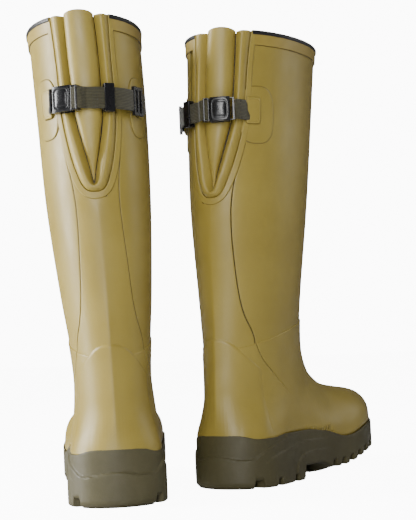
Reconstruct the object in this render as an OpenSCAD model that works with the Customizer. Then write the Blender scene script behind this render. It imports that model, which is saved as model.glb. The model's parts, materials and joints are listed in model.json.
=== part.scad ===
// A pair of tall insulated rubber hunting boots, left and right, in millimetres.
// Each boot is drawn in its own frame: heel at y = 0, toe towards +Y, outer side towards +X,
// tread on z = 0. The left boot is the mirror image of the right one.

/* [Boot] */
// Height of the shaft above the ground
boot_h = 430; // [400:1:450]
// Thickness of the rubber upper
rubber_t = 2.4; // [2:0.1:2.6]
// Thickness of the neoprene lining
lining_t = 4.5; // [3.5:0.5:5]
// Height of the band below the rim
band_h = 15; // [8:1:16]
// Height of the binding round the rim
binding_h = 3.5; // [3:0.5:5]

/* [Sole] */
// Height of the outsole under the heel
heel_h = 33; // [30:1:35]
// Height of the outsole under the ball of the foot
ball_h = 18; // [16:1:20]
// Depth of the tread lugs
lug_h = 6; // [4:1:8]
// Thickness of the foxing strip round the upper
foxing_t = 3.2; // [2.6:0.1:3.4]
// Length of the heel block, from the back of the boot
heel_len = 84; // [78:1:90]

/* [Strap] */
// Height of the middle of the strap above the ground
strap_z = 355; // [345:1:365]
// Width of the webbing
webbing_w = 19; // [17:1:20]
// Thickness of the webbing
webbing_t = 1.5; // [1.2:0.1:1.8]
// Height of the buckle
buckle_h = 23; // [22:1:25]
// Length of the closed buckle body along the strap
buckle_len = 19; // [18:1:21]

/* [Standing place] */
// Distance from the left heel to the right heel, sideways
pair_dx = 91; // [88:1:130]
// Distance that the right heel stands behind the left heel
pair_dy = 94; // [80:1:110]
// Angle that the left toe turns outwards
left_turn = 4.9; // [0:0.1:10]
// Angle that the right toe turns outwards
right_turn = 34; // [30:1:40]

/* [Hidden] */

olive = [0.52, 0.46, 0.27];
dark_olive = [0.36, 0.32, 0.19];
sole_brown = [0.38, 0.35, 0.27];
webbing_green = [0.33, 0.31, 0.20];
black = [0.06, 0.06, 0.06];
foam_grey = [0.35, 0.35, 0.36];

// The pair's middle, taken from the place of the left heel
left_x = -91.3;
left_y = -161.5;

// Section planes of the boot, from the rim down to the heel and along the foot to the toe:
// front y, front z, back y, back z, half width, shift to the outer side, squareness, flare
SECTIONS = [
    [152, boot_h, -16, boot_h, 52, 14, 2.1, 0],
    [144.5, 350, -13, 350, 51, 9.5, 2.1, 0],
    [135.5, 270, -12, 270, 48.5, 6.5, 2.1, 0],
    [128, 192, -4.5, 190, 42.5, 3, 2.1, 0],
    [131, 161, -1, 129, 37.5, 1, 2.1, 0],
    [137, 130, -1, 95, 35, 0, 2.1, 0.04],
    [148, 111, 1, 60, 36.5, -1, 2.1, 0.08],
    [160, 100, 6, 30, 37, -1, 2.2, 0.06],
    [178, 90, 70, 10, 36, 1, 2.3, 0.04],
    [212, 84, 165, 0, 45.8, 0.7, 2.4, 0.03],
    [246, 80, 222, 0, 41.2, -6.8, 2.4, 0.03],
    [271, 68, 262, 4, 28.4, -12.2, 2.3, 0.03],
    [288, 48, 287, 34, 10, -14, 2.1, 0]
];
SPANS = len(SECTIONS) - 1;
collar_v = 4 / SPANS;

// Plan outline of the sole, heel first, then the outer side, the toe and the inner side
SOLE = [
    [-1, -6], [24, 1], [39, 19], [42, 45], [40, 80], [42, 115], [47, 152], [51, 186],
    [48, 212], [38, 237], [24, 261], [8, 282], [-13, 297], [-34, 287], [-46, 262], [-52, 228],
    [-49, 185], [-43, 145], [-39, 105], [-41, 70], [-43, 42], [-40, 18], [-25, 1]
];
SOLE_STEPS = 3;
PROFILE_STEP = 5;

// Angles of the strap pieces round the shaft, from the middle of the back: left, right
buckle_deg = [22.4, 18];
keeper_deg = [-14, -14];
adjuster_deg = [-44, -42];
gusset_skew = [3.5, 7];
tab_deg = 45;
seam_rows = [
    [430, 31], [360, 31], [310, 28], [275, 23], [245, 24], [215, 31], [160, 39.5], [143, 43],
    [129, 51]
];
gusset_end_z = 268;
seam_room = 1.3;
gap = 0.5;
side_gap = 0.3;
sock_gap = 1.6;
layer_gap = 0.8;
proud = 1.3;

function smooth(x) = let (t = min(max(x, 0), 1)) t * t * (3 - 2 * t);
function mix(a, b, t) = a + (b - a) * t;
function curve(p, q, r, s, t) =
    0.5 * (2 * q + (r - p) * t + (2 * p - 5 * q + 4 * r - s) * t * t
    + (3 * q - p - 3 * r + s) * t * t * t);
function section(v) =
    let (x = min(max(v, 0), 1) * SPANS, i = min(floor(x), SPANS - 1))
    curve(
        SECTIONS[max(i - 1, 0)], SECTIONS[i], SECTIONS[i + 1],
        SECTIONS[min(i + 2, SPANS)], x - i
    );
function bend(x, power) = sign(x) * pow(abs(x), power);
// Side profile of the sole: the toe springs up ahead of the tread's resting place
function toe_spring(y) = 12 * smooth((y - 152) / 70) + 7 * smooth((y - 235) / 75);
function sole_top(y) = mix(heel_h, ball_h, smooth((y - 95) / 85)) + toe_spring(y);
function foxing_top(y) =
    sole_top(y) + 13 + 5 * (1 - smooth((y + 6) / 20)) + 2 * smooth((y - 35) / 20)
    + 6 * smooth((y - 110) / 60) - 5 * smooth((y - 125) / 40);
function sole_bottom(y) =
    y < heel_len ? 0 : 15 * (1 - smooth((y - 115) / 25)) + toe_spring(y);

// A point of the boot's surface: angle from the middle of the back, place along the
// section planes from 0 at the rim to 1 at the toe, and distance outwards
function skin_point(deg, v, out) =
    let (
        s = section(v),
        half = norm([s[0] - s[2], s[1] - s[3]]) / 2,
        k = (half + out) / half / 2,
        power = 2 / s[6],
        wide = bend(sin(deg), power),
        along = -bend(cos(deg), power),
        y = (s[0] + s[2]) / 2 + (s[0] - s[2]) * k * along,
        z = (s[1] + s[3]) / 2 + (s[1] - s[3]) * k * along
    )
    [
        s[5] + (s[4] + out) * wide * (1 - s[7] * along),
        y,
        max(z, sole_top(y) + sock_gap - out)
    ];
function v_at(z) = (boot_h - z) / 80 / SPANS;
function z_at(v) = boot_h - v * 80 * SPANS;
function seam_deg(z) = lookup(z, [for (i = [len(seam_rows) - 1:-1:0]) seam_rows[i]]);
function skew_deg(side, z) = gusset_skew[side] * smooth((z - 200) / 150);

// Faces of a closed slab whose two grids of points lie one over the other
function slab_faces(rows, cols) =
    let (n = rows * cols, q = function(k, i, j) k * n + i * cols + j)
    concat(
        [for (i = [0:rows - 2]) for (j = [0:cols - 2]) for (h = [0, 1])
            h == 0 ? [q(1, i, j), q(1, i + 1, j), q(1, i + 1, j + 1)]
                : [q(1, i, j), q(1, i + 1, j + 1), q(1, i, j + 1)]],
        [for (i = [0:rows - 2]) for (j = [0:cols - 2]) for (h = [0, 1])
            h == 0 ? [q(0, i, j), q(0, i + 1, j + 1), q(0, i + 1, j)]
                : [q(0, i, j), q(0, i, j + 1), q(0, i + 1, j + 1)]],
        [for (i = [0:rows - 2]) for (e = [0, 1]) for (h = [0, 1])
            let (j = e * (cols - 1), a = i + (e == 0 ? 0 : 1), b = i + (e == 0 ? 1 : 0))
            h == 0 ? [q(0, a, j), q(0, b, j), q(1, b, j)] : [q(0, a, j), q(1, b, j), q(1, a, j)]],
        [for (j = [0:cols - 2]) for (e = [0, 1]) for (h = [0, 1])
            let (i = e * (rows - 1), a = j + (e == 0 ? 1 : 0), b = j + (e == 0 ? 0 : 1))
            h == 0 ? [q(0, i, a), q(0, i, b), q(1, i, b)] : [q(0, i, a), q(1, i, b), q(1, i, a)]]
    );

// A sheet that lies on the boot's surface. map(s, t) gives its angle, place and rise.
module sheet(map, across, down, inner, outer) {
    points = [
        for (out = [inner, outer]) for (i = [0:across]) for (j = [0:down])
            let (m = map(i / across, j / down)) skin_point(m[0], m[1], out + m[2])
    ];
    polyhedron(points, slab_faces(across + 1, down + 1), 4);
}

// A closed sock or tube with a wall: open at the top, and closed at the toe
module sock(v_top, v_outer, v_inner, outer, inner, around, shaft_rows, foot_rows) {
    down = shaft_rows + foot_rows;
    place = function(j, v_end)
        j < shaft_rows ? mix(v_top, collar_v, j / shaft_rows)
            : mix(collar_v, v_end, (j - shaft_rows) / foot_rows);
    ring = function(v, out) [for (i = [0:around - 1]) skin_point(i * 360 / around, v, out)];
    outer_rings = [for (j = [0:down]) ring(place(j, v_outer), outer)];
    inner_rings = [for (j = [0:down]) ring(place(j, v_inner), inner)];
    middle = function(r) [for (k = [0:2]) [for (p = r) p[k]] * [for (p = r) 1 / len(r)]];
    points = concat(
        [for (r = outer_rings) for (p = r) p], [for (r = inner_rings) for (p = r) p],
        [middle(outer_rings[down]), middle(inner_rings[down])]
    );
    n = around * (down + 1);
    q = function(k, j, i) k * n + j * around + i % around;
    polyhedron(points, concat(
        [for (j = [0:down - 1]) for (i = [0:around - 1]) for (h = [0, 1])
            h == 0 ? [q(0, j, i), q(0, j + 1, i + 1), q(0, j + 1, i)]
                : [q(0, j, i), q(0, j, i + 1), q(0, j + 1, i + 1)]],
        [for (j = [0:down - 1]) for (i = [0:around - 1]) for (h = [0, 1])
            h == 0 ? [q(1, j, i), q(1, j + 1, i), q(1, j + 1, i + 1)]
                : [q(1, j, i), q(1, j + 1, i + 1), q(1, j, i + 1)]],
        [for (i = [0:around - 1]) for (h = [0, 1])
            h == 0 ? [q(0, 0, i), q(1, 0, i), q(1, 0, i + 1)]
                : [q(0, 0, i), q(1, 0, i + 1), q(0, 0, i + 1)]],
        [for (i = [0:around - 1]) [q(0, down, i), q(0, down, i + 1), 2 * n]],
        [for (i = [0:around - 1]) [q(1, down, i + 1), q(1, down, i), 2 * n + 1]]
    ), 4);
}

// Stands a boot in its place: side 0 is the left boot, side 1 the right one
module stand(side) {
    if (side == 0)
        translate([left_x, left_y, 0]) rotate([0, 0, left_turn]) mirror([1, 0, 0]) children();
    else
        translate([left_x + pair_dx, left_y + pair_dy, 0]) rotate([0, 0, -right_turn])
            children();
}

// --- sole ---

function sole_line(inset) =
    let (
        n = len(SOLE),
        line = [
            for (i = [0:n - 1]) for (k = [0:SOLE_STEPS - 1])
                curve(
                    SOLE[(i + n - 1) % n], SOLE[i], SOLE[(i + 1) % n], SOLE[(i + 2) % n],
                    k / SOLE_STEPS
                )
        ],
        m = len(line)
    )
    [
        for (i = [0:m - 1])
            let (d = line[(i + 1) % m] - line[(i + m - 1) % m])
            line[i] + [-d[1], d[0]] / norm(d) * inset
    ];
function profile(low, high, ends) = concat(
    [for (y = [ends[0]:PROFILE_STEP:ends[1]]) [y, low(y)]],
    [for (y = [ends[1]:-PROFILE_STEP:ends[0]]) [y, high(y)]]
);

// The sole's plan, between two inset lines, cut to a side profile
module sole_layer(inset, low, high, ends) {
    intersection() {
        linear_extrude(height = 70) polygon(sole_line(inset));
        rotate([90, 0, 90]) translate([0, 0, -70]) linear_extrude(height = 140)
            polygon(profile(low, high, ends));
    }
}

// Places along the sole where its parts begin and end
sole_ends = [-10, 310];
filler_ends = [5, 230];
shank_ends = [55, 165];
filler_inset = 9;
filler_h = 9;
shank_w = 24;
shank_t = 2;
tread_grooves = [14, 36, 58, 155, 173, 191, 209, 227, 245];
groove_w = 7;
groove_len = 48;
groove_x = 42;
// Forward of the arch the tread is crowned: its border is higher than its middle
crown_ends = [117, 308];
crown_h = 4.6;
crown_inset = 16;

module outsole(side) {
    color(sole_brown) stand(side) difference() {
        sole_layer(0, function(y) sole_bottom(y), function(y) sole_top(y), sole_ends);
        sole_layer(
            filler_inset, function(y) sole_top(y) - filler_h,
            function(y) sole_top(y) + 1, filler_ends
        );
        for (y = tread_grooves)
            for (x = [-1, 1])
                translate([x * groove_x - groove_len / 2, y - groove_w / 2, toe_spring(y) - 1])
                    cube([groove_len, groove_w, lug_h + 1]);
        difference() {
            sole_layer(
                -2, function(y) -1, function(y) toe_spring(y) + crown_h, crown_ends
            );
            translate([0, 0, -2]) linear_extrude(height = 80) polygon(sole_line(crown_inset));
        }
    }
}
module midsole(side) {
    color(foam_grey) stand(side) difference() {
        sole_layer(
            filler_inset + side_gap, function(y) sole_top(y) - filler_h,
            function(y) sole_top(y) - side_gap, filler_ends
        );
        shank_bar(0);
    }
}
module shank_bar(room) {
    rotate([90, 0, 90]) translate([0, 0, -shank_w / 2 - room])
        linear_extrude(height = shank_w + 2 * room)
            polygon(profile(
                function(y) sole_top(y) - filler_h - 1,
                function(y) sole_top(y) - filler_h + shank_t + room, shank_ends
            ));
}
module shank(side) {
    color(black) stand(side) rotate([90, 0, 90]) translate([0, 0, -shank_w / 2])
        linear_extrude(height = shank_w)
            polygon(profile(
                function(y) sole_top(y) - filler_h,
                function(y) sole_top(y) - filler_h + shank_t, shank_ends
            ));
}
module foxing(side) {
    color(sole_brown) stand(side) difference() {
        sole_layer(0, function(y) sole_top(y), function(y) foxing_top(y), sole_ends);
        translate([0, 0, -1]) linear_extrude(height = 80) polygon(sole_line(foxing_t));
    }
}

// --- rubber upper ---

// Seam between quarter and vamp on the foot's sides, from the ankle to the sole: y, z
foot_seam = [[8, 178], [14, 153], [23, 134], [32, 119], [55, 99], [80, 80], [98, 50], [104, 0]];
module behind_seam(shift) {
    rotate([90, 0, 90]) translate([0, 0, -70]) linear_extrude(height = 140)
        polygon(concat(
            [[-40, 0], [-40, 178]], [for (p = foot_seam) [p[0] + shift, p[1]]]
        ));
}
module foot() {
    sock(collar_v, 1, 0.97, 0, -rubber_t, 36, 0, 18);
}
module vamp(side) {
    color(olive) stand(side) difference() {
        foot();
        behind_seam(side_gap);
    }
}
module quarter(side) {
    color(olive) stand(side) intersection() {
        foot();
        behind_seam(0);
    }
}
// Rows of the shaft beside the gusset, and below it, where the back panel shares them
gusset_side_rows = 5;
panel_rows = 7;
function shaft_v(t) =
    let (part = gusset_side_rows / (gusset_side_rows + panel_rows))
    t < part
        ? mix(0, v_at(gusset_end_z), t / part)
        : mix(v_at(gusset_end_z), collar_v - 0.002, (t - part) / (1 - part));
module shaft(side) {
    color(olive) stand(side) sheet(
        function(s, t)
            let (v = shaft_v(t), z = z_at(v), c = skew_deg(side, z))
            [mix(c + seam_deg(z), c + 360 - seam_deg(z), s), v, 0],
        32, gusset_side_rows + panel_rows, -rubber_t, 0
    );
}
module back_panel(side) {
    color(olive) stand(side) sheet(
        function(s, t)
            let (
                v = mix(v_at(gusset_end_z), collar_v - 0.002, t), z = z_at(v),
                half = seam_deg(z) - seam_room
            )
            [skew_deg(side, z) + mix(-half, half, s), v, 0],
        10, panel_rows, -rubber_t, 0
    );
}
bulge_h = 4.5;
// Rise of the gusset's bellows: u from -1 to 1 across it, t from 0 at the rim down
function bellows(u, t) =
    bulge_h * cos(min(abs(u) * 180, 90)) * (1 - smooth((t - 0.55) / 0.35));
module gusset(side) {
    color(olive) stand(side) sheet(
        function(s, t)
            let (
                v = mix(0, v_at(gusset_end_z + 1), t), z = z_at(v),
                half = seam_deg(z) - seam_room, u = 2 * s - 1
            )
            [skew_deg(side, z) + u * half, v, bellows(u, t)],
        18, 12, -rubber_t, 0
    );
}
// Ridges beside the bellows: heights of their ends, and at these their middle and half
// width in degrees
ridge_z = [boot_h - 2, 302];
ridge_deg = [24, 9];
ridge_half_deg = [5, 2.5];
ridge_h = 2.5;
ridge_t = 1.2;
module gusset_ridges(side) {
    color(olive) stand(side) for (e = [-1, 1])
        sheet(
            function(s, t)
                let (
                    v = mix(v_at(ridge_z[0]), v_at(ridge_z[1]), t), z = z_at(v), u = 2 * s - 1,
                    middle = mix(ridge_deg[0], ridge_deg[1], smooth((t - 0.35) / 0.65)),
                    place = e * middle + u * mix(ridge_half_deg[0], ridge_half_deg[1], t),
                    under = bellows(place / (seam_deg(z) - seam_room), v / v_at(gusset_end_z + 1))
                )
                [skew_deg(side, z) + place, v, under + (1 - u * u) * ridge_h],
            4, 10, gap, gap + ridge_t
        );
}
// Border under the bellows: height of its middle above the gusset's end, how far its ends
// curl up, its width, and how far its ends stop short of the seams
border_up = 3;
border_curl = 14;
border_w = 9;
border_room_deg = 3;
module gusset_border(side) {
    color(dark_olive) stand(side) sheet(
        function(s, t)
            let (half = seam_deg(gusset_end_z) - border_room_deg, u = 2 * s - 1)
            [
                skew_deg(side, gusset_end_z) + u * half,
                v_at(gusset_end_z + border_up + border_curl * u * u - border_w * (t - 0.5)), 0
            ],
        12, 2, gap, gap + proud
    );
}
counter_half_deg = 60;
counter_top = 3.75;
counter_drop = 1.05;
counter_low = 6.2;
module heel_counter(side) {
    color(olive) stand(side) sheet(
        function(s, t)
            let (
                u = 2 * s - 1, top = counter_top + counter_drop * pow(abs(u), 2.2),
                low = counter_low + 0.5 * u * u
            )
            [u * counter_half_deg, mix(top, low, t) / SPANS, 0],
        14, 8, gap, gap + 1.1
    );
}
module top_band(side) {
    color(dark_olive) stand(side) sheet(
        function(s, t)
            let (v = mix(v_at(boot_h - binding_h), v_at(boot_h - binding_h - band_h), t),
                z = z_at(v), c = skew_deg(side, z), half = seam_deg(z) + 1)
            [mix(c + half, c + 360 - half, s), v, 0],
        32, 2, gap, gap + 0.9
    );
}
module rim_binding(side) {
    color(black) stand(side) sheet(
        function(s, t)
            let (v = mix(v_at(boot_h), v_at(boot_h - binding_h + 0.3), t), z = boot_h,
                c = skew_deg(side, z), half = seam_deg(z) + 1)
            [mix(c + half, c + 360 - half, s), v, 0],
        32, 1, gap, gap + 1.6
    );
}
// Patches under the strap's ends: middle angle and half width in degrees, lower and upper
// edge, and how much their corners are rounded off below and above
outer_patch_deg = [50, 14];
inner_patch_deg = [-52, 12];
patch_low = 325;
patch_high = 380;
patch_round = [20, 9];
module patch(side, place) {
    color(olive) stand(side) sheet(
        function(s, t)
            let (
                u = 2 * s - 1, round = 1 - pow(abs(u), 3),
                high = mix(patch_high - patch_round[1], patch_high, round),
                low = mix(patch_low + patch_round[0], patch_low, round)
            )
            [place[0] + u * place[1], v_at(mix(high, low, t)), 0],
        10, 6, gap, gap + proud
    );
}
module outer_patch(side) { patch(side, outer_patch_deg); }
module inner_patch(side) { patch(side, inner_patch_deg); }
// Tabs that hold the strap's ends: middle angle and half width in degrees
outer_tab_deg = [46, 6];
inner_tab_deg = [-52, 5];
tab_half_h = 12.5;
tab_t = 1.5;
module tab(side, place) {
    low = gap + proud + gap;
    color(olive) stand(side) sheet(
        function(s, t)
            [place[0] + (2 * s - 1) * place[1],
                v_at(mix(strap_z + tab_half_h, strap_z - tab_half_h, t)), 0],
        6, 2, low, low + tab_t
    );
}
module outer_tab(side) { tab(side, outer_tab_deg); }
module inner_tab(side) { tab(side, inner_tab_deg); }
module lining(side) {
    color(foam_grey) stand(side) sock(
        0.003, 0.968, 0.93, -rubber_t - layer_gap, -rubber_t - layer_gap - lining_t, 36, 5, 18
    );
}
footbed_ends = [20, 250];
footbed_inset = 22.5;
footbed_h = 5;
footbed_rise = sock_gap + rubber_t + layer_gap + lining_t + 2;
module footbed(side) {
    color(black) stand(side) sole_layer(
        footbed_inset, function(y) sole_top(y) + footbed_rise,
        function(y) sole_top(y) + footbed_rise + footbed_h, footbed_ends
    );
}

// --- strap and buckle ---

function strap_point(deg, out) = let (p = skin_point(deg, v_at(strap_z), out)) [p[0], p[1]];
function strap_angle(deg) =
    let (d = strap_point(deg + 0.5, 0) - strap_point(deg - 0.5, 0)) atan2(d[1], d[0]);

// A length of webbing on edge round the shaft, over the rises given as angle and height
module webbing(from, to, rises, steps) {
    path = [for (i = [0:steps]) mix(from, to, i / steps)];
    translate([0, 0, strap_z - webbing_w / 2]) linear_extrude(height = webbing_w)
        polygon(concat(
            [for (a = path) strap_point(a, lookup(a, rises) + webbing_t)],
            [for (i = [steps:-1:0]) strap_point(path[i], lookup(path[i], rises))]
        ));
}
// A frame at the strap: x along it to the outer side, y towards the boot, z up
module at_strap(deg, out) {
    p = strap_point(deg, out);
    translate([p[0], p[1], strap_z]) rotate([0, 0, strap_angle(deg)]) children();
}

buckle_out = [9.5, 10.5];
buckle_t = 8;
wall = 1.5;
ear_len = 4;
mouth = -buckle_len / 2;
prong_z = 7.6;
prong_h = 2.6;
prong_t = 3;
prong_len = 13;
base_len = 6;
catch_h = 3.2;

// Cover outline along the strap: flat at the back, domed at the front
module cover_outline(len, thick) {
    intersection() {
        translate([-len / 2, -thick / 2]) square([len, thick]);
        translate([0, -thick / 2 + 34]) circle(r = 34, $fn = 96);
    }
}
module buckle_body(side) {
    color(black) stand(side) at_strap(buckle_deg[side], buckle_out[side]) {
        difference() {
            translate([0, 0, -buckle_h / 2]) linear_extrude(height = buckle_h)
                cover_outline(buckle_len, buckle_t);
            translate([-buckle_len / 2 - 1, -buckle_t / 2 + wall, -buckle_h / 2 + 1.5])
                cube([buckle_len - 1, buckle_t - 2 * wall, buckle_h - 3]);
            for (e = [-1, 1])
                translate([-buckle_len / 2 - 1, -buckle_t / 2 + wall, e * buckle_h / 2 - 2])
                    cube([buckle_len - 5, buckle_t - 2 * wall, 4]);
        }
        difference() {
            translate([buckle_len / 2, -1.5, -buckle_h / 2 + 1])
                cube([ear_len, 3, buckle_h - 2]);
            translate([buckle_len / 2 - 0.01, -3, -webbing_w / 2 - 0.3])
                cube([ear_len - 1.6, 6, webbing_w + 0.6]);
        }
    }
}
module buckle_tongue(side) {
    color(black) stand(side) at_strap(buckle_deg[side], buckle_out[side]) {
        difference() {
            translate([mouth - 0.4 - base_len, -buckle_t / 2 + 0.5, -buckle_h / 2 + 0.5])
                cube([base_len, buckle_t - 1, buckle_h - 1]);
            translate([mouth - 0.4 - base_len + 1.8, -5, -webbing_w / 2 - 0.3])
                cube([2.6, 10, webbing_w + 0.6]);
        }
        translate([mouth - 0.5, -1.4, -3.5]) cube([14, 2.8, 7]);
    }
}
module prong(side, e) {
    color(black) stand(side) at_strap(buckle_deg[side], buckle_out[side]) {
        translate([mouth, -prong_t / 2, e * prong_z - prong_h / 2])
            cube([prong_len, prong_t, prong_h]);
        translate([mouth + 7, -prong_t / 2, e > 0 ? prong_z : -prong_z - catch_h])
            cube([5, prong_t, catch_h]);
    }
}
module prong_upper(side) { prong(side, 1); }
module prong_lower(side) { prong(side, -1); }

keeper_out = 8.8;
module keeper(side) {
    color(black) stand(side) at_strap(keeper_deg[side], keeper_out) difference() {
        translate([-4.5, -3.2, -12.5]) cube([9, 6.4, 25]);
        translate([-6, -1.9, -webbing_w / 2 - 0.8]) cube([12, 3.8, webbing_w + 1.6]);
    }
}
module adjuster(side) {
    color(black) stand(side) at_strap(adjuster_deg[side], 7) difference() {
        translate([-7, -1.5, -13]) cube([14, 3, 26]);
        for (x = [-4.6, 1.4])
            translate([x, -3, -webbing_w / 2 - 0.3]) cube([3.2, 6, webbing_w + 0.6]);
    }
}
module buckle_strap(side) {
    b = buckle_deg[side];
    color(webbing_green) stand(side) webbing(
        b + 12.5, tab_deg + 5,
        [[b + 12, buckle_out[side] - 1], [tab_deg - 1, 4.6], [tab_deg + 6, 4.6]], 8
    );
}
module main_strap(side) {
    b = buckle_deg[side];
    k = keeper_deg[side];
    rise = keeper_out - webbing_t / 2;
    color(webbing_green) stand(side) webbing(
        adjuster_deg[side] + 9, b - 18,
        [[adjuster_deg[side], 6.2], [k - 6, rise], [k + 6, rise], [b - 16, buckle_out[side] - 1]],
        14
    );
}
module anchor_strap(side) {
    a = adjuster_deg[side];
    color(webbing_green) stand(side) webbing(
        a - 13, a - 6, [[a - 13, 4.2], [a - 5, 4.6]], 4
    );
}

// --- the nodes ---

module left_outsole() { outsole(0); }
module left_midsole() { midsole(0); }
module left_shank() { shank(0); }
module left_foxing() { foxing(0); }
module left_vamp() { vamp(0); }
module left_quarter() { quarter(0); }
module left_shaft() { shaft(0); }
module left_back_panel() { back_panel(0); }
module left_heel_counter() { heel_counter(0); }
module left_top_band() { top_band(0); }
module left_rim_binding() { rim_binding(0); }
module left_gusset() { gusset(0); }
module left_gusset_ridges() { gusset_ridges(0); }
module left_gusset_border() { gusset_border(0); }
module left_outer_patch() { outer_patch(0); }
module left_inner_patch() { inner_patch(0); }
module left_outer_tab() { outer_tab(0); }
module left_inner_tab() { inner_tab(0); }
module left_lining() { lining(0); }
module left_footbed() { footbed(0); }
module left_buckle_strap() { buckle_strap(0); }
module left_main_strap() { main_strap(0); }
module left_anchor_strap() { anchor_strap(0); }
module left_buckle_body() { buckle_body(0); }
module left_buckle_tongue() { buckle_tongue(0); }
module left_prong_upper() { prong_upper(0); }
module left_prong_lower() { prong_lower(0); }
module left_keeper() { keeper(0); }
module left_adjuster() { adjuster(0); }
module right_outsole() { outsole(1); }
module right_midsole() { midsole(1); }
module right_shank() { shank(1); }
module right_foxing() { foxing(1); }
module right_vamp() { vamp(1); }
module right_quarter() { quarter(1); }
module right_shaft() { shaft(1); }
module right_back_panel() { back_panel(1); }
module right_heel_counter() { heel_counter(1); }
module right_top_band() { top_band(1); }
module right_rim_binding() { rim_binding(1); }
module right_gusset() { gusset(1); }
module right_gusset_ridges() { gusset_ridges(1); }
module right_gusset_border() { gusset_border(1); }
module right_outer_patch() { outer_patch(1); }
module right_inner_patch() { inner_patch(1); }
module right_outer_tab() { outer_tab(1); }
module right_inner_tab() { inner_tab(1); }
module right_lining() { lining(1); }
module right_footbed() { footbed(1); }
module right_buckle_strap() { buckle_strap(1); }
module right_main_strap() { main_strap(1); }
module right_anchor_strap() { anchor_strap(1); }
module right_buckle_body() { buckle_body(1); }
module right_buckle_tongue() { buckle_tongue(1); }
module right_prong_upper() { prong_upper(1); }
module right_prong_lower() { prong_lower(1); }
module right_keeper() { keeper(1); }
module right_adjuster() { adjuster(1); }

left_outsole();
left_midsole();
left_shank();
left_foxing();
left_vamp();
left_quarter();
left_shaft();
left_back_panel();
left_heel_counter();
left_top_band();
left_rim_binding();
left_gusset();
left_gusset_ridges();
left_gusset_border();
left_outer_patch();
left_inner_patch();
left_outer_tab();
left_inner_tab();
left_lining();
left_footbed();
left_buckle_strap();
left_main_strap();
left_anchor_strap();
left_buckle_body();
left_buckle_tongue();
left_prong_upper();
left_prong_lower();
left_keeper();
left_adjuster();
right_outsole();
right_midsole();
right_shank();
right_foxing();
right_vamp();
right_quarter();
right_shaft();
right_back_panel();
right_heel_counter();
right_top_band();
right_rim_binding();
right_gusset();
right_gusset_ridges();
right_gusset_border();
right_outer_patch();
right_inner_patch();
right_outer_tab();
right_inner_tab();
right_lining();
right_footbed();
right_buckle_strap();
right_main_strap();
right_anchor_strap();
right_buckle_body();
right_buckle_tongue();
right_prong_upper();
right_prong_lower();
right_keeper();
right_adjuster();
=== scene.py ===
"""A pair of tall rubber boots with an adjustable calf gusset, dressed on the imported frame."""

import json
import math

import bmesh
import bpy
import numpy as np
from mathutils import Matrix, Vector


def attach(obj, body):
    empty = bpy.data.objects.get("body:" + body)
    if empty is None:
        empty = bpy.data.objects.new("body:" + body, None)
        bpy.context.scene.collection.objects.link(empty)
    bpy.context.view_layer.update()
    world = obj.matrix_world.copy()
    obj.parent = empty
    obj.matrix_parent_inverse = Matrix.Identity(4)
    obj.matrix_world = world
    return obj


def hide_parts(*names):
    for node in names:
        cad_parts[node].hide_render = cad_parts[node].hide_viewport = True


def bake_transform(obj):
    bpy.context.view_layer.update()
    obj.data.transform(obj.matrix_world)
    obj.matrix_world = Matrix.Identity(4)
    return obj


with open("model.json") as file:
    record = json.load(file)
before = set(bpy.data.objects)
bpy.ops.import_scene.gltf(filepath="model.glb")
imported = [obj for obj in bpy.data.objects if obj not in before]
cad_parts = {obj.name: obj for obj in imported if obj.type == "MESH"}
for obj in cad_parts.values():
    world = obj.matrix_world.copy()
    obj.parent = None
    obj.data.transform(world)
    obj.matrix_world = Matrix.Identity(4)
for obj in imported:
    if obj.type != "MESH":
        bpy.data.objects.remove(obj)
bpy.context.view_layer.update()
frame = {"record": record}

# --- Camera -----------------------------------------------------------------
# It stands behind the pair, a little above the ankles, and looks slightly up,
# so that the soles are seen almost level and the rims almost from below.

CAMERA_FROM_HEEL = Vector((0.0873, -1.0809, 0.1456))
LENS_MM = 85.5
LOOKS_UP_DEG = 3.47
ROLL_DEG = -2.54
HEEL_AT = 0.045   # the heel mount's distance from the back of the boot

spots = {m["name"]: Vector(m["pos_m"]) for m in frame["record"]["mounts"]}
left_heel, left_ball = spots["left_heel_tread"], spots["left_ball_tread"]
left_back = left_heel - (left_ball - left_heel).normalized() * HEEL_AT
camera = bpy.data.objects.new("camera", bpy.data.cameras.new("camera"))
camera.data.lens = LENS_MM
camera.matrix_world = (
    Matrix.Translation(left_back + CAMERA_FROM_HEEL)
    @ Matrix.Rotation(math.radians(90 + LOOKS_UP_DEG), 4, "X")
    @ Matrix.Rotation(math.radians(ROLL_DEG), 4, "Z")
)
bpy.context.scene.collection.objects.link(camera)
bpy.context.scene.camera = camera

# --- Floor and light --------------------------------------------------------
# A plain pale floor in a white studio, a broad soft light from the left, a tall
# one behind the camera for the gloss, and a weak one for the right edges.

FLOOR_HALF = 6.0
CORNERS = ((-1, -1), (1, -1), (1, 1), (-1, 1))
FLOOR_DROP = 0.0004
FLOOR_GREY = (0.72, 0.72, 0.72)
FLOOR_GLOW = 10.5
STUDIO_LIGHT = 0.12
STUDIO_SEEN = 11.0
WHITE = (1, 1, 1, 1)


def plain_finish(name, colour, roughness):
    """A new material with its main shader's colour and roughness set."""
    finish = bpy.data.materials.new(name)
    finish.use_nodes = True
    shader = finish.node_tree.nodes["Principled BSDF"]
    shader.inputs["Base Color"].default_value = (*colour, 1)
    shader.inputs["Roughness"].default_value = roughness
    return finish


def add_node(tree, kind, inputs=None, **settings):
    """A new node. Each input is a socket to link from or a value to set."""
    node = tree.nodes.new(kind)
    for setting, value in settings.items():
        setattr(node, setting, value)
    for socket, value in (inputs or {}).items():
        if isinstance(value, bpy.types.NodeSocket):
            tree.links.new(value, node.inputs[socket])
        else:
            node.inputs[socket].default_value = value
    return node


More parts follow.
